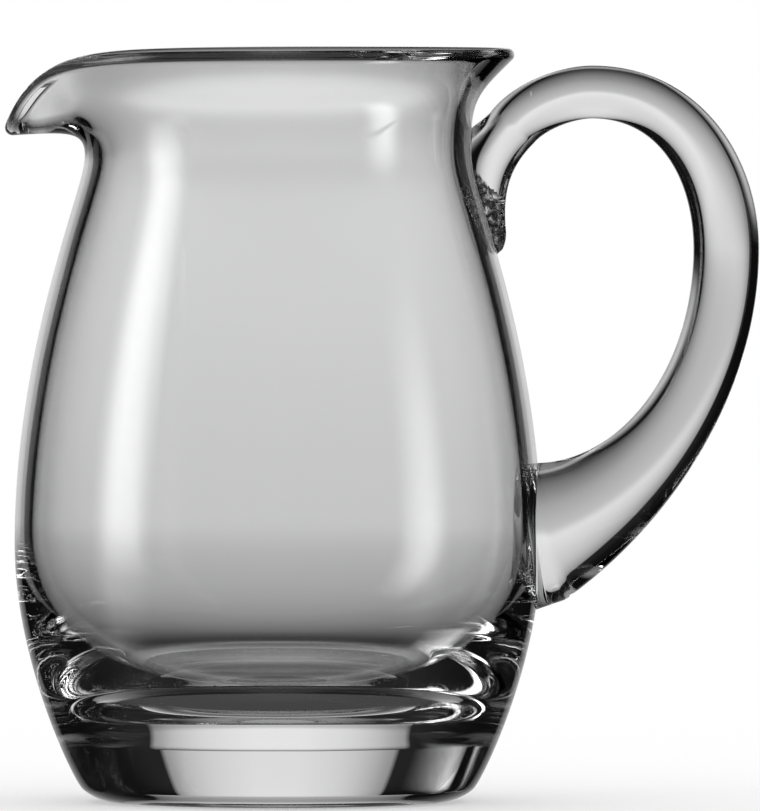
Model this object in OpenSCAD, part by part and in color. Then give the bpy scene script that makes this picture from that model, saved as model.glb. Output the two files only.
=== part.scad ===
// Clear glass beer pitcher: a blown body with a heavy solid base, a flared rim
// pulled out into a pouring lip, and a solid glass loop handle sealed to its wall.
// Millimetres. The origin is the middle of the base, +Z is up, the handle lies
// towards +X and the pouring lip towards -X.

/* [Body] */
// Height of the rim above the table
body_h = 172; // [160:1:190]
// Radius of the flat base
base_r = 38.5; // [34:0.5:41]
// Outside radius at the top of the rounded heel
heel_r = 44.9; // [43:0.1:47]
// Height of the rounded heel
heel_h = 3; // [2:0.5:5]
// Slope of the wall just above the heel, from upright
heel_slope = 42; // [20:1:50]
// Outside radius of the belly
belly_r = 60.2; // [56:0.1:66]
// Height of the belly
belly_h = 58.6; // [50:0.2:66]
// Outside radius of the neck
neck_r = 44.1; // [41:0.1:48]
// Height of the collar, from the neck to the rim
collar_h = 25; // [22:0.5:32]
// Outside radius of the rim
rim_r = 54; // [51:0.5:60]
// Slope of the flared rim, from level
flare = 45; // [35:1:60]

/* [Curves] */
// Length over which the heel's slope leads the wall
heel_run = 2.4; // [1:0.2:6]
// Length over which the upright belly leads the wall below it
belly_fall = 26.3; // [15:0.1:35]
// Length over which the upright belly leads the wall above it
belly_rise = 45.3; // [25:0.1:50]
// Length over which the upright neck leads the wall below it
neck_fall = 6.5; // [3:0.1:20]
// Length over which the upright neck leads the collar above it
neck_rise = 14; // [8:0.5:15]
// Length over which the flare leads the collar below the rim
flare_run = 13; // [6:0.5:14]

/* [Glass] */
// Thickness of the wall
wall = 4; // [3:0.1:5]
// Thickness of the rounded rim
rim_t = 3; // [2.2:0.1:4]
// Thickness of the solid base in the middle
base_t = 21.5; // [12:0.5:28]
// Height at which the inside starts to close towards its floor
bowl_h = 62; // [54:1:75]
// Roundness of the inside on its way down, where 2 is an ellipse
bowl_round = 2.1; // [2:0.1:3]
// Flatness of the inside floor, where 2 is an ellipse
bowl_flat = 6.5; // [2.5:0.5:9]

/* [Pouring lip] */
// Reach of the lip beyond the rim
lip_reach = 8.4; // [4:0.2:14]
// Depth of the lip's tip below the rim
lip_drop = 16.6; // [8:0.2:18]
// Angle over which the rim is drawn outwards
lip_spread = 38; // [28:1:50]
// Angle over which the rim is drawn down
lip_dip = 26; // [20:1:36]
// Thickness of the lip's rounded edge at its tip
lip_t = 3.6; // [2:0.1:4.2]
// How much thinner the lip is drawn between the neck and its edge
lip_thin = 1.8; // [0:0.1:2]
// Slope of the lip at its tip, from level
lip_slope = -4; // [-8:1:20]
// Length over which the upright neck leads the wall below the lip
lip_rise = 5.5; // [4:0.5:8]
// Length over which the lip runs straight to its tip
lip_run = 15; // [8:0.5:16]

/* [Handle] */
// Reach of the handle beyond the belly
handle_reach = 49.7; // [42:0.1:60]
// Thickness of the grip where it stands out furthest
grip_t = 15; // [12:0.1:18]
// Width of the grip across its thickness
grip_w = 12.1; // [10:0.1:18]
// Depth of that place below the neck
grip_drop = 21; // [12:1:32]
// Thickness of the handle at the top of its arch
arch_t = 12.1; // [10:0.1:15]
// Height of the arch's centre line above the neck
arch_rise = 15; // [12:0.5:20]
// Distance of the top of the arch from the neck
arch_out = 27.7; // [24:0.1:34]
// Height of the lower seal's middle above the belly
foot_rise = 3.2; // [-6:0.2:10]
// Thickness of the handle at its lower seal
foot_t = 33.5; // [24:0.5:38]
// Width of the lower seal
foot_w = 26; // [16:0.5:30]
// Slope at which the handle leaves its lower seal, from level
foot_slope = 19; // [10:1:35]
// How quickly the foot thins out into the grip
foot_taper = 3.5; // [1.5:0.1:4.5]
// How quickly the foot narrows into the grip
foot_narrow = 1.3; // [1:0.1:4.5]
// Thickness of the handle where it comes to its upper seal
seal_t = 12.2; // [10:0.1:15]
// Distance of the handle's centre line from the neck there
seal_out = 9.7; // [6:0.1:12]
// Height of the handle's centre line above the neck there
seal_rise = 7.2; // [3:0.1:9]
// Slope at which the handle comes down to its upper seal, from level
seal_slope = 51; // [35:1:60]
// Depth of the tail's end below the neck
tail_l = 22; // [16:0.5:30]
// Thickness of the tail at its end
tail_t = 5.6; // [4:0.2:9]
// Film left between the handle and the wall that it is sealed to
seal_gap = 0.05; // [0.03:0.01:0.3]

/* [Hidden] */
glass_colour = [0.86, 0.88, 0.88, 0.45];

// Sides of the body, and of the handle's section
body_sides = 64;
bar_sides = 20;
// Steps along each stretch of the body's outline
heel_steps = 4;
lower_steps = 8;
upper_steps = 14;
collar_steps = 8;
rim_steps = 5;
inside_steps = 10;
bowl_steps = 12;
// Steps along each stretch of the handle
limb_steps = 14;
arch_steps = 10;
tail_steps = 14;
// Share of each stretch's length over which its end directions lead the handle's curve
limb_lead = 0.36;
arch_lead = 0.41;
seal_lead = 0.3;
tail_lead = 0.39;
// Highest value of the curve that thins the lip
thin_peak = 4 / 27;
// Growth of the seal face from its middle out to its edge
seal_growth = [0.04, 0.35, 0.7, 1];
// Share of the tail that is left before its rounded end
tail_end = 0.85;
// Radius of the last flat round in the middle of the inside floor
floor_flat_r = 8;
// Height step for reading the slope of the wall
slope_step = 1;

neck_h = body_h - collar_h;

// Point and direction on a cubic curve
function curve(c, t) =
    pow(1 - t, 3) * c[0] + 3 * t * pow(1 - t, 2) * c[1]
    + 3 * t * t * (1 - t) * c[2] + pow(t, 3) * c[3];
function curve_way(c, t) =
    3 * pow(1 - t, 2) * (c[1] - c[0]) + 6 * t * (1 - t) * (c[2] - c[1])
    + 3 * t * t * (c[3] - c[2]);
// Unit vector to the left of a curve's direction
function curve_left(c, t) =
    let (way = curve_way(c, t))
    [-way[1], way[0]] / norm(way);
function mix(a, b, t) = a + (b - a) * t;
function heading(angle) = [cos(angle), sin(angle)];

// Outline of the body from the base to the neck, as [radius, height]
heel_top = [heel_r, heel_h];
heel_way = [tan(heel_slope), 1];
heel_c = [[base_r, 0], [(base_r + heel_r - heel_h) / 2, 0],
          heel_top - heel_h / 2 * heel_way, heel_top];
lower_c = [heel_top, heel_top + heel_run * heel_way,
           [belly_r, belly_h - belly_fall], [belly_r, belly_h]];
upper_c = [[belly_r, belly_h], [belly_r, belly_h + belly_rise],
           [neck_r, neck_h - neck_fall], [neck_r, neck_h]];

// How far the rim is drawn into the lip at an angle round the body, from 0 to 1
function drawn(angle, spread) = pow(1 + pow(abs(angle - 180) / spread, 2), -2);
function dip(angle) = drawn(angle, lip_dip);
function edge_t(angle) = mix(rim_t, lip_t, dip(angle));
function edge_slope(angle) = mix(flare, lip_slope, dip(angle));
// Middle of the rounded edge of the rim
function edge_mid(angle) =
    [rim_r - edge_t(angle) / 2 + lip_reach * drawn(angle, lip_spread),
     body_h - rim_t / 2 - lip_drop * dip(angle)];
// Rounded edge, from its outside at 0 to its inside at 1
function edge(angle, t) =
    edge_mid(angle) + edge_t(angle) / 2 * heading(edge_slope(angle) - 90 + 180 * t);
// Outside of the collar from the neck to the edge
function collar_c(angle) =
    let (top = edge(angle, 0), run = mix(flare_run, lip_run, dip(angle)))
    [[neck_r, neck_h],
     [neck_r, neck_h + mix(neck_rise, lip_rise, dip(angle))],
     top - run * heading(edge_slope(angle)),
     top];
function collar_out(angle, t) = curve(collar_c(angle), t);
// Share of the lip's thinning from the neck at 0 to the edge at 1, most at two thirds of the way
function thinned(t) = t * t * (1 - t) / thin_peak;
function collar_t(angle, t) = mix(wall, edge_t(angle), t * t) - lip_thin * dip(angle) * thinned(t);
function collar_in(angle, t) =
    let (c = collar_c(angle))
    curve(c, t) + collar_t(angle, t) * curve_left(c, t);

// Outside radius of the body at a height, on the handle's side
outline = concat(
    [for (i = [0 : heel_steps]) curve(heel_c, i / heel_steps)],
    [for (i = [1 : lower_steps]) curve(lower_c, i / lower_steps)],
    [for (i = [1 : upper_steps]) curve(upper_c, i / upper_steps)]);
side_outline = concat(outline, [for (i = [1 : collar_steps]) collar_out(0, i / collar_steps)]);
wall_table = [for (p = side_outline) [p[1], p[0]]];
function wall_r(h) = lookup(h, wall_table);
function wall_slope(h) = (wall_r(h + slope_step) - wall_r(h - slope_step)) / (2 * slope_step);
// Inside radius of the wall at a height
function inside_r(h) = wall_r(h) - wall * norm([1, wall_slope(h)]);
// Inside of the bowl, from its start at 0 to the middle of its floor at 1
function bowl(t) =
    let (h = bowl_h - (bowl_h - base_t) * pow(sin(90 * t), 2 / bowl_round))
    [inside_r(h) * pow(cos(90 * t), 2 / bowl_flat), h];

function around(p, angle) = [p[0] * cos(angle), p[0] * sin(angle), p[1]];
function body_angle(k) = 360 * k / body_sides;
function level_ring(p) = [for (k = [0 : body_sides - 1]) around(p, body_angle(k))];
function collar_ring(t) =
    [for (k = [0 : body_sides - 1]) around(collar_out(body_angle(k), t), body_angle(k))];
function edge_ring(t) =
    [for (k = [0 : body_sides - 1]) around(edge(body_angle(k), t), body_angle(k))];
function collar_inner_ring(t) =
    [for (k = [0 : body_sides - 1]) around(collar_in(body_angle(k), t), body_angle(k))];

// Closed solid through rings of points that have the same number of points each
module skin(rings) {
    n = len(rings[0]);
    last = len(rings) - 1;
    sides = [for (j = [0 : last - 1], k = [0 : n - 1])
        let (a = j * n + k, b = j * n + (k + 1) % n)
        each [[a, a + n, b], [b, a + n, b + n]]];
    start_cap = [for (k = [0 : n - 1]) k];
    end_cap = [for (k = [n - 1 : -1 : 0]) last * n + k];
    polyhedron([for (ring = rings) each ring], concat([start_cap], sides, [end_cap]));
}

// Blown body: base, wall, collar, rounded rim and pouring lip, and the inside down to its floor
module vessel() {
    color(glass_colour)
        skin(concat(
            [for (p = outline) level_ring(p)],
            [for (i = [1 : collar_steps]) collar_ring(i / collar_steps)],
            [for (i = [1 : rim_steps]) edge_ring(i / rim_steps)],
            [for (i = [1 : collar_steps]) collar_inner_ring(1 - i / collar_steps)],
            [for (i = [1 : inside_steps])
                let (h = mix(neck_h, bowl_h, i / inside_steps))
                level_ring([inside_r(h), h])],
            [for (i = [1 : bowl_steps - 1]) level_ring(bowl(i / bowl_steps))],
            [level_ring([floor_flat_r, base_t])]));
}

// Centre line of the handle in the plane of the spout, as [distance from the axis, height]
foot_h = belly_h + foot_rise;
foot_p = [wall_r(foot_h), foot_h];
grip_p = [belly_r + handle_reach - grip_t / 2, neck_h - grip_drop];
arch_p = [neck_r + arch_out, neck_h + arch_rise];
seal_p = [neck_r + seal_out, neck_h + seal_rise];
tail_h = neck_h - tail_l;
tail_p = [wall_r(tail_h), tail_h];
seal_way = 180 + seal_slope;
tail_way = 360 + atan2(-1, -wall_slope(tail_h));

function stretch(p, p_way, q, q_way, lead) =
    let (l = lead * norm(q - p))
    [p, p + l * heading(p_way), q - l * heading(q_way), q];
lower_limb = stretch(foot_p, foot_slope, grip_p, 90, limb_lead);
upper_limb = stretch(grip_p, 90, arch_p, 180, arch_lead);
seal_limb = stretch(arch_p, 180, seal_p, seal_way, seal_lead);
tail_limb = stretch(seal_p, seal_way, tail_p, tail_way, tail_lead);

// Where the foot's lower edge meets the wall, and how far its section starts inside for that
foot_low_h = foot_h - foot_t / (2 * cos(foot_slope));
foot_sink = foot_t / 2 * tan(foot_slope) + (foot_p[0] - wall_r(foot_low_h)) / cos(foot_slope);

// One section across the handle: its middle, direction, thickness and width
function section(c, t, thick, wide) =
    let (way = curve_way(c, t))
    [curve(c, t), atan2(way[1], way[0]), thick, wide];
function tail_round(t) = t < tail_end ? 1 : sqrt(max(0, 1 - pow((t - tail_end) / (1 - tail_end), 2)));

foot_start = foot_p - foot_sink * heading(foot_slope);
sections = concat(
    [for (share = seal_growth) [foot_start, foot_slope, foot_t * share, foot_w * share]],
    [for (i = [0 : limb_steps - 1])
        let (t = i / limb_steps)
        section(lower_limb, t,
                mix(grip_t, foot_t, pow(1 - t, foot_taper)),
                mix(grip_w, foot_w, pow(1 - t, foot_narrow)))],
    [for (i = [0 : arch_steps - 1])
        let (t = i / arch_steps)
        section(upper_limb, t, mix(grip_t, arch_t, t), mix(grip_w, arch_t, t))],
    [for (i = [0 : arch_steps - 1])
        let (t = i / arch_steps, thick = mix(arch_t, seal_t, t * t))
        section(seal_limb, t, thick, thick)],
    [for (i = [0 : tail_steps - 1])
        let (t = i / tail_steps, thick = mix(seal_t, tail_t, t) * tail_round(t))
        section(tail_limb, t, thick, thick)],
    [section(tail_limb, 1, seal_growth[0] * tail_t, seal_growth[0] * tail_t)]);

// A point of the handle that would lie inside the body is moved out onto the wall
function on_wall(p) =
    let (r = norm([p[0], p[1]]), least = wall_r(p[2]) + seal_gap)
    r < least ? [p[0] * least / r, p[1] * least / r, p[2]] : p;
function bar_ring(s) =
    let (mid = s[0], inner = heading(s[1] + 90))
    [for (k = [0 : bar_sides - 1])
        let (turn = 360 * k / bar_sides, in_plane = mid + s[2] / 2 * cos(turn) * inner)
        on_wall([in_plane[0], -s[3] / 2 * sin(turn), in_plane[1]])];

// Solid loop handle: foot, grip, arch, and the upper seal with the tail that runs down the wall
module handle() {
    color(glass_colour)
        skin([for (s = sections) bar_ring(s)]);
}

vessel();
handle();
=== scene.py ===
"""Looks of a clear glass beer pitcher: a blown body and a solid loop handle, in a bright-field studio.

Lengths are in metres and angles in degrees. The frame is the part's own: the origin is the middle of
the base, +Z is up, the handle lies towards +X and the pouring lip towards -X.
"""
import bisect
import math

import bpy
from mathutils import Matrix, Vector, noise as grain


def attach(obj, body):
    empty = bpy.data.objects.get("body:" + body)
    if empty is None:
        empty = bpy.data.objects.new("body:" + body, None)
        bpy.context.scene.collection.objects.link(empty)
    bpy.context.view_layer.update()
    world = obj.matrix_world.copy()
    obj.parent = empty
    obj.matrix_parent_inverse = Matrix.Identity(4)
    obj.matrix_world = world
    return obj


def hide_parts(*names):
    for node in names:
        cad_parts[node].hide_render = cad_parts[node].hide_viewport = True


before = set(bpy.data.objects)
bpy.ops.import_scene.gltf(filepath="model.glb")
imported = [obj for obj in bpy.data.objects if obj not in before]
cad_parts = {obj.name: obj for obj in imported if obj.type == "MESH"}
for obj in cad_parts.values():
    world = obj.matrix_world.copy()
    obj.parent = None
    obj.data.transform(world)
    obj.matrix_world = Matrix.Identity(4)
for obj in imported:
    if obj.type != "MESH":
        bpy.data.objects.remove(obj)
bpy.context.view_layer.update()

# Body, with the same sizes as the solids
BODY_H = 0.172
BASE_R = 0.0385
HEEL_R = 0.0449
HEEL_H = 0.003
HEEL_SLOPE = 42
BELLY_R = 0.0602
BELLY_H = 0.0586
NECK_R = 0.0441
COLLAR_H = 0.025
RIM_R = 0.054
FLARE = 45
HEEL_RUN = 0.0024
BELLY_FALL = 0.0263
BELLY_RISE = 0.0453
NECK_FALL = 0.0065
NECK_RISE = 0.014
FLARE_RUN = 0.013
NECK_H = BODY_H - COLLAR_H

# Glass thickness and the inside
WALL = 0.004
RIM_T = 0.003
BASE_T = 0.0215
BOWL_H = 0.062
BOWL_ROUND = 2.1
BOWL_FLAT = 6.5

# Pouring lip
LIP_REACH = 0.0084
LIP_DROP = 0.0166
LIP_SPREAD = 38
LIP_DIP = 26
LIP_T = 0.0036
LIP_THIN = 0.0018
THIN_PEAK = 4 / 27
LIP_SLOPE = -4
LIP_RISE = 0.0055
LIP_RUN = 0.015

# Handle
HANDLE_REACH = 0.0497
GRIP_T = 0.015
GRIP_W = 0.0121
GRIP_SQUARE = 2.5
GRIP_DROP = 0.021
ARCH_T = 0.0121
ARCH_RISE = 0.015
ARCH_OUT = 0.0277
FOOT_RISE = 0.0032
FOOT_T = 0.0335
FOOT_W = 0.026
FOOT_SLOPE = 19
FOOT_TAPER = 3.5
GRIP_EASE = 0.3
SEAL_T = 0.0122
SEAL_OUT = 0.0097
SEAL_RISE = 0.0072
SEAL_SLOPE = 51
TAIL_L = 0.022
TAIL_T = 0.0056
TAIL_END = 0.85
SEAL_GAP = 0.00005
SEAL_FILL = 0.004
FILL_MID = 3.32
FILL_RUN = 0.32
LIMB_LEAD = 0.36
ARCH_LEAD = 0.41
SEAL_LEAD = 0.3
TAIL_LEAD = 0.39

# Crimped pad of the tail, and the air pockets in its seam
CRIMP_TOP = 0.1455
CRIMP_SLOPE = 0.7
CRIMP_T = 0.0032
SEAM = 0.0006
SEAM_LENGTH = 0.0016

# Fineness of the meshes
BODY_SIDES = 320
SIDES_CROWD = 0.7
BAR_SIDES = 120
HEEL_STEPS = 12
WALL_STEPS = 148
COLLAR_STEPS = 30
RIM_STEPS = 16
BOWL_STEPS = 72
FLOOR_STEPS = 8
FOOT_STEPS = 40
LIMB_STEPS = 150
TAIL_STEPS = 90
CONTACT_STEPS = 24
SLOPE_STEP = 0.001
EASE_PASSES = 13
EASE_FADE = 12
LIP_CRISP = 0.8
FINE = 400


def mix(a, b, t):
    return a + (b - a) * t


def heading(angle):
    return Vector((math.cos(math.radians(angle)), math.sin(math.radians(angle))))


def cubic(c, t):
    """Point on a cubic curve."""
    s = 1 - t
    return s**3 * c[0] + 3 * s * s * t * c[1] + 3 * s * t * t * c[2] + t**3 * c[3]


def cubic_way(c, t):
    """Direction of a cubic curve."""
    s = 1 - t
    return 3 * s * s * (c[1] - c[0]) + 6 * s * t * (c[2] - c[1]) + 3 * t * t * (c[3] - c[2])


def shares(steps):
    return [i / steps for i in range(1, steps + 1)]


# Outline of the body as (radius, height)
HEEL_TOP = Vector((HEEL_R, HEEL_H))
HEEL_WAY = Vector((math.tan(math.radians(HEEL_SLOPE)), 1))
HEEL_C = (
    Vector((BASE_R, 0)),
    Vector(((BASE_R + HEEL_R - HEEL_H) / 2, 0)),
    HEEL_TOP - HEEL_H / 2 * HEEL_WAY,
    HEEL_TOP,
)
LOWER_C = (
    HEEL_TOP,
    HEEL_TOP + HEEL_RUN * HEEL_WAY,
    Vector((BELLY_R, BELLY_H - BELLY_FALL)),
    Vector((BELLY_R, BELLY_H)),
)
UPPER_C = (
    Vector((BELLY_R, BELLY_H)),
    Vector((BELLY_R, BELLY_H + BELLY_RISE)),
    Vector((NECK_R, NECK_H - NECK_FALL)),
    Vector((NECK_R, NECK_H)),
)


def drawn(angle, spread):
    """How far the rim is drawn into the lip at an angle round the body, from 0 to 1."""
    return (1 + (abs(angle - 180) / spread) ** 2) ** -2


def edge_t(angle):
    return mix(RIM_T, LIP_T, drawn(angle, LIP_DIP))


def edge_slope(angle):
    return mix(FLARE, LIP_SLOPE, drawn(angle, LIP_DIP))


def edge(angle, t):
    """Rounded edge of the rim, from its outside at 0 to its inside at 1."""
    mid = Vector((
        RIM_R - edge_t(angle) / 2 + LIP_REACH * drawn(angle, LIP_SPREAD),
        BODY_H - RIM_T / 2 - LIP_DROP * drawn(angle, LIP_DIP),
    ))
    return mid + edge_t(angle) / 2 * heading(edge_slope(angle) - 90 + 180 * t)


def collar_c(angle):
    """Outside of the collar from the neck to the edge of the rim."""
    dip = drawn(angle, LIP_DIP)
    top = edge(angle, 0)
    return (
        Vector((NECK_R, NECK_H)),
        Vector((NECK_R, NECK_H + mix(NECK_RISE, LIP_RISE, dip))),
        top - mix(FLARE_RUN, LIP_RUN, dip) * heading(edge_slope(angle)),
        top,
    )


def collar_t(angle, t):
    """Thickness of the collar from the neck at 0 to the edge at 1, thinner where the lip was drawn out."""
    thinned = t * t * (1 - t) / THIN_PEAK
    return mix(WALL, edge_t(angle), t * t) - LIP_THIN * drawn(angle, LIP_DIP) * thinned


def spaced(points, count):
    """Points at even distances along a line of points."""
    runs = [0]
    for p, q in zip(points, points[1:]):
        runs.append(runs[-1] + (q - p).length)
    found = []
    for k in range(count + 1):
        run = runs[-1] * k / count
        i = min(max(bisect.bisect_left(runs, run), 1), len(runs) - 1)
        found.append(points[i - 1].lerp(points[i], (run - runs[i - 1]) / (runs[i] - runs[i - 1])))
    return found


def eased(points, strength):
    """Line with its jumps in curvature smoothed out, less and less towards its ends."""
    last = len(points) - 1
    for _ in range(EASE_PASSES):
        line = list(points)
        for i in range(1, last):
            share = strength * min(1, i / EASE_FADE, (last - i) / EASE_FADE)
            line[i] = points[i] + share / 4 * (points[i - 1] + points[i + 1] - 2 * points[i])
        points = line
    return points


HEEL_LINE = [cubic(HEEL_C, t) for t in [0] + shares(HEEL_STEPS)]
LOWER_LINE = [cubic(LOWER_C, t) for t in [0] + shares(FINE)]
UPPER_LINE = [cubic(UPPER_C, t) for t in shares(FINE)]
WALL_LINE = spaced(LOWER_LINE + UPPER_LINE, WALL_STEPS)


def wall_line(angle):
    """Outside of the wall and collar from the heel to the edge of the rim."""
    c = collar_c(angle)
    collar = spaced([cubic(c, t) for t in [0] + shares(FINE)], COLLAR_STEPS)
    return eased(WALL_LINE + collar[1:], 1 - LIP_CRISP * drawn(angle, LIP_DIP))


SIDE_LINE = wall_line(0)
SIDE_OUTLINE = HEEL_LINE + SIDE_LINE[1:]
SIDE_HEIGHTS = [p.y for p in SIDE_OUTLINE]
BOWL_PLACE = next(i for i, p in enumerate(SIDE_LINE) if p.y > BOWL_H)


def wall_r(h):
    """Outside radius of the body at a height, on the handle's side."""
    i = min(max(bisect.bisect_left(SIDE_HEIGHTS, h), 1), len(SIDE_OUTLINE) - 1)
    a, b = SIDE_OUTLINE[i - 1], SIDE_OUTLINE[i]
    t = min(max((h - a.y) / (b.y - a.y), 0), 1)
    return mix(a.x, b.x, t)


def wall_slope(h):
    return (wall_r(h + SLOPE_STEP) - wall_r(h - SLOPE_STEP)) / (2 * SLOPE_STEP)


def inside_r(h):
    return wall_r(h) - WALL * math.hypot(1, wall_slope(h))


def bowl(t):
    """Inside of the bowl, from its start at 0 to the middle of its floor at 1."""
    angle = math.radians(90 * t)
    h = BOWL_H - (BOWL_H - BASE_T) * math.sin(angle) ** (2 / BOWL_ROUND)
    return Vector((inside_r(h) * max(math.cos(angle), 0) ** (2 / BOWL_FLAT), h))


def meridian(angle):
    """Run of (radius, height) points from the base round the rim to the inside floor."""
    outer = wall_line(angle)
    inner = []
    for i in range(BOWL_PLACE, len(outer) - 1):
        way = (outer[i + 1] - outer[i - 1]).normalized()
        share = max(0, (i - WALL_STEPS) / COLLAR_STEPS)
        inner.append(outer[i] + collar_t(angle, share) * Vector((-way.y, way.x)))
    bowl_line = [bowl(t) for t in shares(BOWL_STEPS)[:-1]]
    floor_r = bowl_line[-1].x
    return (
        [Vector((BASE_R * t, 0)) for t in shares(FLOOR_STEPS)[:-1]]
        + HEEL_LINE
        + outer[1:]
        + [edge(angle, t) for t in shares(RIM_STEPS)]
        + inner[::-1]
        + bowl_line
        + [Vector((floor_r * (1 - t), BASE_T)) for t in shares(FLOOR_STEPS)[:-1]]
    )


def tube(rings):
    """Faces between rings of points that follow each other in one list."""
    n = len(rings[0])
    faces = []
    for j in range(len(rings) - 1):
        for k in range(n):
            a, b = j * n + k, j * n + (k + 1) % n
            faces.append((a, b, b + n, a + n))
    return faces


def closed_start(n, tip):
    return [(tip, (k + 1) % n, k) for k in range(n)]


def closed_end(n, first, tip):
    return [(tip, first + k, first + (k + 1) % n) for k in range(n)]


# Kinds of face: outer skin, fused to the other piece, and the crimped seam and pad, which get painted shade
SKIN, FUSED, SHADED_SEAM = range(3)


def make_piece(name, points, faces, kinds):
    """Closed mesh whose faces are outer skin, fused to the other piece, or in the crimped seam, which gets
    painted shade.
    """
    mesh = bpy.data.meshes.new(name)
    mesh.from_pydata(points, [], faces)
    mesh.polygons.foreach_set("use_smooth", [True] * len(mesh.polygons))
    mesh.polygons.foreach_set("material_index", kinds)
    mesh.update()
    piece = bpy.data.objects.new(name, mesh)
    bpy.context.scene.collection.objects.link(piece)
    return piece


def crowded(k):
    """Angle round the body of one of its sides, which are closest at the handle and at the lip."""
    turn = 2 * math.pi * k / BODY_SIDES
    return math.degrees(turn - SIDES_CROWD * math.sin(2 * turn) / 2)


def within(outline, y, z):
    """Whether a place on the wall lies inside a closed outline there."""
    inside = False
    for a, b in zip(outline, outline[1:] + outline[:1]):
        if (a.y > z) != (b.y > z) and y < mix(a.x, b.x, (z - a.y) / (b.y - a.y)):
            inside = not inside
    return inside


def make_vessel(seal):
    angles = [crowded(k) for k in range(BODY_SIDES)]
    lines = [meridian(angle) for angle in angles]
    turns = [heading(angle) for angle in angles]
    rings = [
        [(p.x * turn.x, p.x * turn.y, p.y) for p, turn in zip(ring, turns)]
        for ring in zip(*lines)
    ]
    points = [p for ring in rings for p in ring] + [(0, 0, 0), (0, 0, BASE_T)]
    n = BODY_SIDES
    last = n * (len(rings) - 1)
    faces = tube(rings) + closed_start(n, last + n) + closed_end(n, last, last + n + 1)
    outside = range(n * FLOOR_STEPS, n * (FLOOR_STEPS + HEEL_STEPS + WALL_STEPS + COLLAR_STEPS))
    held = set()
    for i in outside:
        x, y, z = points[i]
        if x > 0 and within(seal, y, z):
            held.add(i)
    kinds = [FUSED if held.issuperset(face) else SKIN for face in faces]
    return make_piece("vessel_glass", points, faces, kinds)


# Centre line of the handle as (distance from the axis, height)
FOOT_H = BELLY_H + FOOT_RISE
FOOT_P = Vector((wall_r(FOOT_H), FOOT_H))
GRIP_P = Vector((BELLY_R + HANDLE_REACH - GRIP_T / 2, NECK_H - GRIP_DROP))
ARCH_P = Vector((NECK_R + ARCH_OUT, NECK_H + ARCH_RISE))
SEAL_P = Vector((NECK_R + SEAL_OUT, NECK_H + SEAL_RISE))
TAIL_H = NECK_H - TAIL_L
TAIL_P = Vector((wall_r(TAIL_H), TAIL_H))
SEAL_WAY = 180 + SEAL_SLOPE
TAIL_WAY = math.degrees(math.atan2(-1, -wall_slope(TAIL_H)))


def stretch(p, p_way, q, q_way, lead):
    run = lead * (q - p).length
    return (p, p + run * heading(p_way), q - run * heading(q_way), q)


STRETCHES = (
    stretch(FOOT_P, FOOT_SLOPE, GRIP_P, 90, LIMB_LEAD),
    stretch(GRIP_P, 90, ARCH_P, 180, ARCH_LEAD),
    stretch(ARCH_P, 180, SEAL_P, SEAL_WAY, SEAL_LEAD),
    stretch(SEAL_P, SEAL_WAY, TAIL_P, TAIL_WAY, TAIL_LEAD),
)
FOOT_SINK = FOOT_T
LIMB_FROM = 0.3
LIMB_TO = 2.3
FOOT_SEEK = (65, -0.02)
TAIL_SEEK = (340, 0.005)
HALVINGS = 30


def tail_round(t):
    past = max(0, (t - TAIL_END) / (1 - TAIL_END))
    return math.sqrt(max(0, 1 - past * past))


def smooth(t):
    return t * t * (3 - 2 * t)


def handle_size(place):
    """Thickness in the handle's plane and width across it, at a place along its four stretches."""
    t = place - int(place)
    if place < 0:
        return FOOT_T, FOOT_W
    if place < 1:
        narrow = (math.hypot(1 - t, GRIP_EASE) - GRIP_EASE) / (math.hypot(1, GRIP_EASE) - GRIP_EASE)
        return mix(GRIP_T, FOOT_T, (1 - t) ** FOOT_TAPER), mix(GRIP_W, FOOT_W, narrow)
    if place < 2:
        return mix(GRIP_T, ARCH_T, smooth(t)), mix(GRIP_W, ARCH_T, smooth(t))
    if place < 3:
        thick = mix(ARCH_T, SEAL_T, t * t)
    else:
        thick = mix(SEAL_T, TAIL_T, place - 3) * tail_round(place - 3)
    return thick, thick


def squareness(place):
    """Shape of the section: 2 is an ellipse, more is squarer. The arch is round and the grip flattened."""
    if place < 2:
        return mix(2, GRIP_SQUARE, math.sin(math.pi * min(max(place, 0), 2) / 2) ** 2)
    return 2


def rounded(value, square):
    return math.copysign(abs(value) ** (2 / square), value)


def handle_point(place, turn):
    """Point on the handle's skin; before 0 it lies in the glass that is cut off at the wall."""
    if place < 0:
        mid = FOOT_P + place * FOOT_SINK * heading(FOOT_SLOPE)
        way = FOOT_SLOPE
    else:
        i = min(int(place), len(STRETCHES) - 1)
        run = cubic_way(STRETCHES[i], place - i)
        mid = cubic(STRETCHES[i], place - i)
        way = math.degrees(math.atan2(run.y, run.x))
    thick, wide = handle_size(place)
    square = squareness(place)
    across = rounded(math.cos(turn), square)
    fill = SEAL_FILL * max(0, 1 - ((place - FILL_MID) / FILL_RUN) ** 2) ** 2 * min(across, 0) ** 2
    p = mid + (thick / 2 + fill) * across * heading(way + 90)
    return Vector((p.x, -wide / 2 * rounded(math.sin(turn), square), p.y))


def over_wall(p):
    """How far a point stands out from the film that seals the handle to the wall."""
    return math.hypot(p.x, p.y) - wall_r(p.z) - SEAL_GAP


def sealed(y, z):
    """Point on the wall's film, on the handle's side."""
    return Vector((math.sqrt((wall_r(z) + SEAL_GAP) ** 2 - y * y), y, z))


def crossing(turn, outside, steps, step):
    """Place along the handle where one line of its skin goes into the wall."""
    place = outside
    for _ in range(steps):
        after = place + step
        if over_wall(handle_point(after, turn)) < 0:
            break
        place = after
    for _ in range(HALVINGS):
        step /= 2
        if over_wall(handle_point(place + step, turn)) >= 0:
            place += step
    return place


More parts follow.
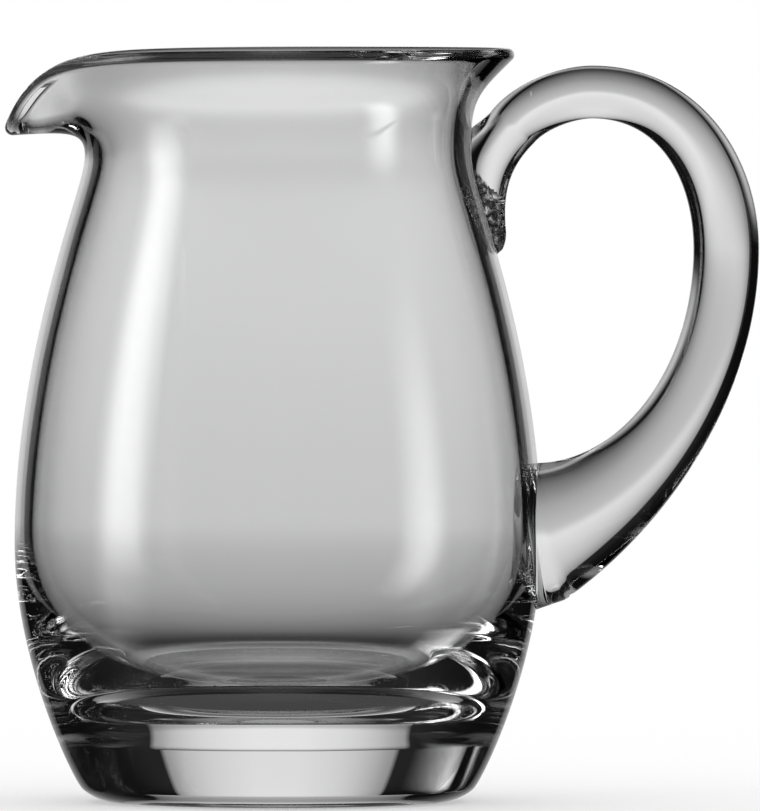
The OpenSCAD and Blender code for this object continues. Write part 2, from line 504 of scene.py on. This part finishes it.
def tail_contact(points, n, last):
    """Faces of the tail on the wall, in rows between the mirrored points of the last ring.

    The seam is crinkled, with thin pockets of air.
    """
    half = n // 2
    rows = [[last]]
    for k in range(1, half):
        left, right = points[last + k], points[last + n - k]
        row = [last + k]
        for t in shares(CONTACT_STEPS)[:-1]:
            row.append(len(points))
            p = sealed(mix(left.y, right.y, t), left.z)
            gap = SEAM * 4 * t * (1 - t) * abs(grain.noise(p / SEAM_LENGTH))
            points.append(p + gap * Vector((p.x, p.y, 0)).normalized())
        rows.append(row + [last + n - k])
    rows.append([last + half])
    faces = []
    for row, after in zip(rows, rows[1:]):
        for m in range(CONTACT_STEPS):
            if len(row) == 1:
                faces.append((row[0], after[m], after[m + 1]))
            elif len(after) == 1:
                faces.append((row[m], after[0], row[m + 1]))
            else:
                faces.append((row[m], after[m], after[m + 1], row[m + 1]))
    return faces


def in_shaded_pad(p):
    """Whether a point of the skin lies in the pad that was pressed on to the wall below the seal, which
    gets painted shade.
    """
    return p.z > TAIL_H - TAIL_T and over_wall(p) < min(CRIMP_T, CRIMP_SLOPE * (CRIMP_TOP - p.z))


def make_handle():
    """The handle, and the outline on the wall of its foot, which is fused to the body."""
    turns = [2 * math.pi * k / BAR_SIDES for k in range(BAR_SIDES)]
    lines = []
    for turn in turns:
        first = crossing(turn, LIMB_FROM, *FOOT_SEEK)
        last = crossing(turn, LIMB_TO, *TAIL_SEEK)
        places = [mix(first, LIMB_FROM, t) for t in [0] + shares(FOOT_STEPS)]
        places += [mix(LIMB_FROM, LIMB_TO, t) for t in shares(LIMB_STEPS)]
        places += [mix(LIMB_TO, last, t) for t in shares(TAIL_STEPS)]
        lines.append([handle_point(place, turn) for place in places])
    rings = [list(ring) for ring in zip(*lines)]
    centre = Vector((0, FOOT_H))
    contact = []
    for t in shares(CONTACT_STEPS)[:-1]:
        flat = [Vector((p.y, p.z)).lerp(centre, t) for p in rings[0]]
        contact.append([sealed(p.x, p.y) for p in flat])
    rings = contact[::-1] + rings
    points = [p for ring in rings for p in ring]
    points.append(sealed(0, FOOT_H))
    n = BAR_SIDES
    last = n * (len(rings) - 1)
    skin = tube(rings)
    foot_end = closed_start(n, last + n)
    tail_end = tail_contact(points, n, last)
    inner = n * (CONTACT_STEPS - 2)
    kinds = [FUSED] * inner
    # Faces of the crimped pad get the glass that is darkened with painted shade
    kinds += [SHADED_SEAM if all(in_shaded_pad(points[i]) for i in face) else SKIN for face in skin[inner:]]
    kinds += [FUSED] * n + [SHADED_SEAM] * len(tail_end)
    seal = [Vector((p.y, p.z)) for p in contact[0]]
    return make_piece("handle_glass", points, skin + foot_end + tail_end, kinds), seal


# Node helpers
def calc(tree, operation, *values):
    node = tree.nodes.new("ShaderNodeMath")
    node.operation = operation
    for socket, value in zip(node.inputs, values):
        if isinstance(value, bpy.types.NodeSocket):
            tree.links.new(value, socket)
        else:
            socket.default_value = value
    return node.outputs[0]


def ramp(tree, stops, value):
    node = tree.nodes.new("ShaderNodeValToRGB")
    elements = node.color_ramp.elements
    elements.remove(elements[0])
    for i, (place, level) in enumerate(stops):
        element = elements[0] if i == 0 else elements.new(place)
        element.position = place
        element.color = (level, level, level, 1)
    tree.links.new(value, node.inputs[0])
    return node.outputs[0]


# Glass: slow waves and faint cords left by the hand work, and a ring of fine wear under the base
WAVE_SCALE = 26
CORD_SCALE = (70, 70, 9)
WAVE_DEPTH = 0.00007
CORD_SHARE = 0.25
WEAR_R = (0.028, 0.031, 0.038, 0.0395)
WEAR_TOP = 0.0006
WEAR_SCALE = 900
WEAR_ROUGH = 0.35
WEAR_RUB = [(0.5, 0), (0.7, 1)]
GLASS_DULL = (0.985, 0.988, 0.988, 1)
GLASS_CLEAR = (1, 1, 1, 1)


def noise(tree, place, scale, detail):
    node = tree.nodes.new("ShaderNodeTexNoise")
    node.inputs["Scale"].default_value = scale
    node.inputs["Detail"].default_value = detail
    tree.links.new(place, node.inputs["Vector"])
    return node.outputs[0]


def clear_glass(name, ior):
    material = bpy.data.materials.new(name)
    material.use_nodes = True
    tree = material.node_tree
    shader = tree.nodes["Principled BSDF"]
    shader.inputs["IOR"].default_value = ior
    shader.inputs["Transmission Weight"].default_value = 1
    place = tree.nodes.new("ShaderNodeTexCoord").outputs["Object"]
    drawn_out = tree.nodes.new("ShaderNodeMapping")
    drawn_out.inputs["Scale"].default_value = CORD_SCALE
    tree.links.new(place, drawn_out.inputs["Vector"])
    wave = noise(tree, place, WAVE_SCALE, 1)
    cord = noise(tree, drawn_out.outputs[0], 1, 2)
    bump = tree.nodes.new("ShaderNodeBump")
    bump.inputs["Distance"].default_value = WAVE_DEPTH
    tree.links.new(calc(tree, "MULTIPLY_ADD", cord, CORD_SHARE, wave), bump.inputs["Height"])
    tree.links.new(bump.outputs[0], shader.inputs["Normal"])
    tint = tree.nodes.new("ShaderNodeMix")
    tint.data_type = "RGBA"
    tint.inputs["A"].default_value = GLASS_DULL
    tint.inputs["B"].default_value = GLASS_CLEAR
    tree.links.new(cord, tint.inputs["Factor"])
    tree.links.new(tint.outputs["Result"], shader.inputs["Base Color"])
    parts = tree.nodes.new("ShaderNodeSeparateXYZ")
    tree.links.new(place, parts.inputs[0])
    x, y, z = parts.outputs
    away = calc(tree, "SQRT", calc(tree, "ADD", calc(tree, "MULTIPLY", x, x), calc(tree, "MULTIPLY", y, y)))
    away = calc(tree, "DIVIDE", away, RIM_R)
    ring = ramp(tree, list(zip([r / RIM_R for r in WEAR_R], (0, 1, 1, 0))), away)
    low = calc(tree, "LESS_THAN", z, WEAR_TOP)
    rub = ramp(tree, WEAR_RUB, noise(tree, place, WEAR_SCALE, 3))
    worn = calc(tree, "MULTIPLY", calc(tree, "MULTIPLY", ring, low), rub)
    tree.links.new(calc(tree, "MULTIPLY", worn, WEAR_ROUGH), shader.inputs["Roughness"])
    return material


# Crimped pad of the tail: crinkled by bumps, and darkened with painted shade in its base colour, leaving
# specks of clearer glass
SPECK_SCALE = 900
SPECK_DEPTH = 0.0005
# Base colour levels of the painted shade, from near black to specks of clearer glass
PAINTED_SHADE_SPECKS = [(0.4, 0.01), (0.52, 0.06), (0.6, 0.35), (0.7, 0.9)]


def painted_shade_crimp_glass(name, ior):
    """The same glass where the tail was pressed on with a tool: rough with bumps, and darkened with painted
    shade in its base colour, with specks of clearer glass.
    """
    material = clear_glass(name, ior)
    tree = material.node_tree
    shader = tree.nodes["Principled BSDF"]
    place = tree.nodes["Texture Coordinate"].outputs["Object"]
    crinkle_and_shade = noise(tree, place, SPECK_SCALE, 2)
    # Painted shade: the base colour darkens this glass, mostly to near black
    tree.links.new(ramp(tree, PAINTED_SHADE_SPECKS, crinkle_and_shade), shader.inputs["Base Color"])
    bump = tree.nodes["Bump"]
    bump.inputs["Distance"].default_value = SPECK_DEPTH
    tree.links.new(crinkle_and_shade, bump.inputs["Height"])
    return material


# Studio: soft lights as (brightness, run round the jug, run from below to above). A direction is in
# degrees: round the jug from straight behind it, positive towards +X, and up from level. The back wall
# ends lower for light that was reflected, so that the upper edges of the glass stay dark
BACK_AROUND = [
    (-25.2, 0), (-24.2, 0.36), (-22, 0.46), (-18, 0.66), (-15, 0.78), (-12, 0.87), (-8, 0.94), (-4, 1),
    (4, 1), (8, 0.94), (12, 0.87), (15, 0.78), (18, 0.66), (21, 0.46), (22.8, 0.36), (23.8, 0),
]
BACK_UP = [
    (-90, 0.02), (-55, 0.02), (-43, 0.045), (-38, 0.09), (-30, 0.18), (-22, 0.28), (-16, 0.38), (-10, 0.46),
    (-5, 0.53), (-3, 0.58), (-1.6, 0.66), (-1, 0.72), (1, 0.84), (4, 0.82),
]
BACK_WALL = (1.0, BACK_AROUND, BACK_UP + [(10, 0.76), (20, 0.76), (30, 0.8), (55, 0.78), (75, 0.3)])
BACK_GLOSS = (1.0, BACK_AROUND, BACK_UP + [(6, 0.6), (10, 0.3), (16, 0)])
LEFT_BOX = (
    4.2,
    [(-121, 0), (-113, 0.7), (-107, 1), (-100, 1), (-95, 0.4), (-90, 0)],
    [(-24, 0), (-8, 0.5), (2, 0.9), (10, 1), (24, 1), (44, 0)],
)
RIGHT_BOX = (
    0.9,
    [(98, 0), (106, 0.7), (111, 1), (116, 0.7), (124, 0)],
    [(-30, 0), (-8, 0.8), (0, 1), (12, 1), (26, 0)],
)
PALE_FLOOR = (
    0.25,
    [(-180, 1), (-95, 1), (-75, 0.2), (-50, 0), (50, 0), (75, 0.2), (95, 1), (180, 1)],
    [(-90, 0), (-60, 0.5), (-45, 1), (-30, 1), (-16, 0)],
)
CEILING = (0.3, [(-180, 1), (180, 1)], [(55, 0), (75, 1), (90, 1)])
ROOM = (0.004, [(-180, 1), (180, 1)], [(-90, 1), (90, 1)])
PALE_ROOM = (
    0.75,
    [(-180, 1), (-92, 1), (-66, 0), (66, 0), (92, 1), (180, 1)],
    [(-90, 0.3), (-60, 0.8), (-20, 1), (60, 1), (90, 0.6)],
)
PALE_TABLE = (
    0.6,
    [(-92, 0), (-66, 1), (-42, 1), (-28, 0), (28, 0), (42, 1), (66, 1), (92, 0)],
    [(-90, 0.3), (-60, 0.8), (-20, 1), (-10, 0.7), (-5, 0.1), (-2, 0)],
)
UNDER = (0.4, [(-180, 1), (180, 1)], [(-76, 0), (-68, 1), (-58, 1), (-50, 0)])
EVERYWHERE = (ROOM,)
IN_GLOSS = (BACK_GLOSS, LEFT_BOX, RIGHT_BOX, PALE_FLOOR, CEILING)
SEEN_THROUGH = (BACK_WALL, PALE_ROOM, PALE_TABLE, UNDER)


def make_world():
    world = bpy.data.worlds.new("studio")
    bpy.context.scene.world = world
    world.use_nodes = True
    tree = world.node_tree
    tree.nodes.clear()
    place = tree.nodes.new("ShaderNodeTexCoord")
    parts = tree.nodes.new("ShaderNodeSeparateXYZ")
    tree.links.new(place.outputs["Generated"], parts.inputs[0])
    turn = calc(tree, "ARCTAN2", parts.outputs[0], parts.outputs[1])
    turn = calc(tree, "MULTIPLY_ADD", turn, 0.5 / math.pi, 0.5)
    rise = calc(tree, "ARCSINE", parts.outputs[2])
    rise = calc(tree, "MULTIPLY_ADD", rise, 1 / math.pi, 0.5)
    path = tree.nodes.new("ShaderNodeLightPath")
    through = calc(tree, "LESS_THAN", path.outputs["Glossy Depth"], 0.5)
    gloss = calc(tree, "SUBTRACT", 1.0, through)
    studio = 0.0
    for lights, share in ((EVERYWHERE, 1.0), (IN_GLOSS, gloss), (SEEN_THROUGH, through)):
        for strength, around, updown in lights:
            around = ramp(tree, [((angle + 180) / 360, level) for angle, level in around], turn)
            updown = ramp(tree, [((angle + 90) / 180, level) for angle, level in updown], rise)
            light = calc(tree, "MULTIPLY", calc(tree, "MULTIPLY", around, updown), strength)
            studio = calc(tree, "MULTIPLY_ADD", light, share, studio)
    in_glass = calc(tree, "MAXIMUM", path.outputs["Is Glossy Ray"], path.outputs["Is Transmission Ray"])
    plain = calc(tree, "SUBTRACT", 1.0, in_glass)
    level = calc(tree, "MULTIPLY_ADD", studio, in_glass, plain)
    background = tree.nodes.new("ShaderNodeBackground")
    background.inputs["Color"].default_value = (1, 1, 1, 1)
    tree.links.new(level, background.inputs["Strength"])
    output = tree.nodes.new("ShaderNodeOutputWorld")
    tree.links.new(background.outputs[0], output.inputs["Surface"])


DISC_SIDES = 96
FLOOR_R = 3.0
FLOOR_Z = -0.0002
FLOOR_COLOUR = 0.6
CONTACT_Z = -0.0001
CONTACT_GLOW = 0.05


def stage_disc(name, radius, z, colour):
    """Flat round of the stage, and its matt material."""
    mesh = bpy.data.meshes.new(name)
    ring = [heading(360 * k / DISC_SIDES) * radius for k in range(DISC_SIDES)]
    mesh.from_pydata([(p.x, p.y, z) for p in ring], [], [tuple(range(DISC_SIDES))])
    disc = bpy.data.objects.new(name, mesh)
    bpy.context.scene.collection.objects.link(disc)
    material = bpy.data.materials.new(name)
    material.use_nodes = True
    shader = material.node_tree.nodes["Principled BSDF"]
    shader.inputs["Base Color"].default_value = (colour, colour, colour, 1)
    shader.inputs["Roughness"].default_value = 1
    shader.inputs["Specular IOR Level"].default_value = 0
    shader.inputs["Emission Color"].default_value = (1, 1, 1, 1)
    mesh.materials.append(material)
    return disc, material.node_tree, shader


def make_floor():
    """Pale floor, not shown in the glass, and the shadow under the base, shown only in the glass."""
    floor, tree, shader = stage_disc("floor", FLOOR_R, FLOOR_Z, FLOOR_COLOUR)
    path = tree.nodes.new("ShaderNodeLightPath")
    lift = calc(tree, "MULTIPLY", path.outputs["Is Camera Ray"], 1 - FLOOR_COLOUR)
    tree.links.new(lift, shader.inputs["Emission Strength"])
    floor.visible_transmission = False
    floor.visible_glossy = False
    contact, tree, shader = stage_disc("contact_shadow", BASE_R, CONTACT_Z, 0)
    shader.inputs["Emission Strength"].default_value = CONTACT_GLOW
    contact.visible_camera = False
    contact.visible_diffuse = False
    contact.visible_shadow = False


# Camera: far off and a little above the rim. Photo columns and rows are in its 760 by 811 frame
PHOTO_W = 760
PHOTO_H = 811
MM_PER_PIXEL = 0.2285
AXIS_COLUMN = 278
BASE_ROW = 801
CAMERA_FAR = 5.0
CAMERA_H = 0.217


def make_camera():
    scale = MM_PER_PIXEL / 1000
    aim = Vector(((PHOTO_W / 2 - AXIS_COLUMN) * scale, 0, (BASE_ROW - PHOTO_H / 2) * scale))
    place = Vector((aim.x, -CAMERA_FAR, CAMERA_H))
    data = bpy.data.cameras.new("camera")
    data.sensor_fit = "HORIZONTAL"
    data.lens = data.sensor_width * (aim - place).length / (PHOTO_W * scale)
    camera = bpy.data.objects.new("camera", data)
    camera.location = place
    camera.rotation_euler = (aim - place).to_track_quat("-Z", "Y").to_euler()
    bpy.context.scene.collection.objects.link(camera)
    bpy.context.scene.camera = camera


GLASS_IOR = 1.5
FUSED_IOR = 1.0
BOUNCES = 32


def dress(piece, node, slot):
    """Glass outside, and no bending of light where the two pieces are melted together."""
    piece.data.materials.append(clear_glass("clear_" + slot, GLASS_IOR))
    piece.data.materials.append(clear_glass("fused_" + slot, FUSED_IOR))
    if node == "handle":
        # The crimped pad and seam get a glass darkened with painted shade
        piece.data.materials.append(painted_shade_crimp_glass("painted_shade_crimp_" + slot, GLASS_IOR))
    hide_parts(node)
    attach(piece, "root")


scene = bpy.context.scene
scene.view_settings.view_transform = "Standard"
scene.cycles.max_bounces = BOUNCES
scene.cycles.transmission_bounces = BOUNCES
scene.cycles.glossy_bounces = BOUNCES
make_camera()
make_world()
make_floor()
handle, seal = make_handle()
dress(make_vessel(seal), "vessel", "body_glass")
dress(handle, "handle", "handle_glass")
